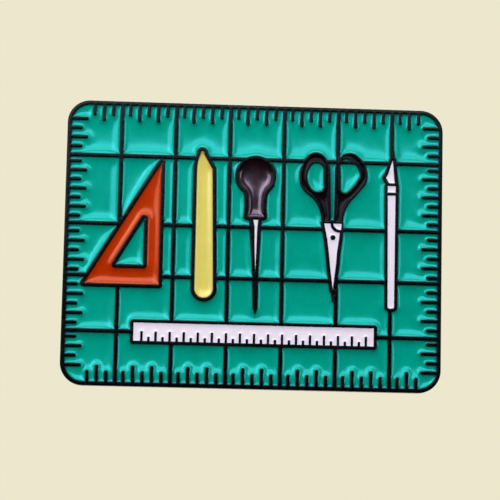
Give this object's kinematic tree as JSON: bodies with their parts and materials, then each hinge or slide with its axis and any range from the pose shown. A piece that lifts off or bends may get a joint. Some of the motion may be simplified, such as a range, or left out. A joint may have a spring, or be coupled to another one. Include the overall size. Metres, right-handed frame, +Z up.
{
  "type": "soft enamel lapel pin",
  "caption": "Flat rounded metal badge with recessed enamel showing a cutting mat and craft tools, held through cloth by posts with squeeze-release butterfly clutches.",
  "frame": {"origin": "centre of the plate's flat back face", "axes": "as worn: +Z up, +X to the right as seen from the front, and +Y from the front towards the wearer's cloth, along the posts"},
  "size_m": [0.045, 0.0095, 0.034],
  "materials": {
    "black_metal": "dyed black nickel, polished",
    "green_enamel": "gloss",
    "orange_enamel": "gloss",
    "yellow_enamel": "gloss",
    "brown_enamel": "gloss",
    "black_enamel": "gloss",
    "white_enamel": "gloss",
    "solder": "dull tin",
    "post_steel": "satin nickel plate",
    "clutch_nickel": "bright nickel plate",
    "spring_steel": "drawn wire",
    "eyelet_brass": "satin"
  },
  "bodies": {
    "pin": {"awl_handle_enamel": "brown_enamel", "awl_needle_enamel": "white_enamel", "base_plate": "black_metal", "bone_folder_enamel": "yellow_enamel", "finger_holes_enamel": "green_enamel", "knife_blade_enamel": "white_enamel", "knife_collar_enamel": "white_enamel", "knife_handle_enamel": "white_enamel", "left_post": "post_steel", "left_post_pad": "post_steel", "left_solder_fillet": "solder", "mat_row_1_enamel": "green_enamel", "mat_row_2_enamel": "green_enamel", "mat_row_3_enamel": "green_enamel", "mat_row_4_enamel": "green_enamel", "mat_row_5_enamel": "green_enamel", "right_post": "post_steel", "right_post_pad": "post_steel", "right_solder_fillet": "solder", "ruler_enamel": "white_enamel", "scissors_back_blade_enamel": "white_enamel", "scissors_front_blade_enamel": "white_enamel", "scissors_left_handle_enamel": "black_enamel", "scissors_right_handle_enamel": "black_enamel", "set_square_enamel": "orange_enamel", "set_square_window_enamel": "green_enamel"},
    "left_clutch_bush": {"left_clutch_eyelet": "eyelet_brass"},
    "left_clutch": {"left_clutch_disc": "clutch_nickel", "left_clutch_cap": "clutch_nickel", "left_clutch_spring": "spring_steel"},
    "left_clutch_wing_left": {"left_clutch_left_wing": "clutch_nickel"},
    "left_clutch_wing_right": {"left_clutch_right_wing": "clutch_nickel"},
    "right_clutch_bush": {"right_clutch_eyelet": "eyelet_brass"},
    "right_clutch": {"right_clutch_disc": "clutch_nickel", "right_clutch_cap": "clutch_nickel", "right_clutch_spring": "spring_steel"},
    "right_clutch_wing_left": {"right_clutch_left_wing": "clutch_nickel"},
    "right_clutch_wing_right": {"right_clutch_right_wing": "clutch_nickel"}
  },
  "joints": [
    {"name": "left_clutch_pull", "type": "slide", "parent": "pin", "child": "left_clutch_bush", "axis": [0, 1, 0], "range_m": [0, 0.008]},
    {"name": "left_clutch_spin", "type": "hinge", "parent": "left_clutch_bush", "child": "left_clutch", "pos_m": [-0.012, 0, 0], "axis": [0, 1, 0], "continuous": true},
    {"name": "left_clutch_squeeze", "type": "slide", "parent": "left_clutch", "child": "left_clutch_wing_left", "axis": [1, 0, 0], "range_m": [0, 0.0006], "stiffness_N_per_m": 2000, "springref_m": -0.001, "deforming": ["left_clutch_spring"]},
    {"name": "left_clutch_right_squeeze", "type": "slide", "parent": "left_clutch", "child": "left_clutch_wing_right", "axis": [-1, 0, 0], "range_m": [0, 0.0006], "stiffness_N_per_m": 2000, "springref_m": -0.001},
    {"name": "right_clutch_pull", "type": "slide", "parent": "pin", "child": "right_clutch_bush", "axis": [0, 1, 0], "range_m": [0, 0.008]},
    {"name": "right_clutch_spin", "type": "hinge", "parent": "right_clutch_bush", "child": "right_clutch", "pos_m": [0.012, 0, 0], "axis": [0, 1, 0], "continuous": true},
    {"name": "right_clutch_squeeze", "type": "slide", "parent": "right_clutch", "child": "right_clutch_wing_left", "axis": [1, 0, 0], "range_m": [0, 0.0006], "stiffness_N_per_m": 2000, "springref_m": -0.001, "deforming": ["right_clutch_spring"]},
    {"name": "right_clutch_right_squeeze", "type": "slide", "parent": "right_clutch", "child": "right_clutch_wing_right", "axis": [-1, 0, 0], "range_m": [0, 0.0006], "stiffness_N_per_m": 2000, "springref_m": -0.001}
  ],
  "couplings": [
    {"joint": "left_clutch_right_squeeze", "follows": "left_clutch_squeeze", "ratio": 1},
    {"joint": "right_clutch_right_squeeze", "follows": "right_clutch_squeeze", "ratio": 1}
  ]
}
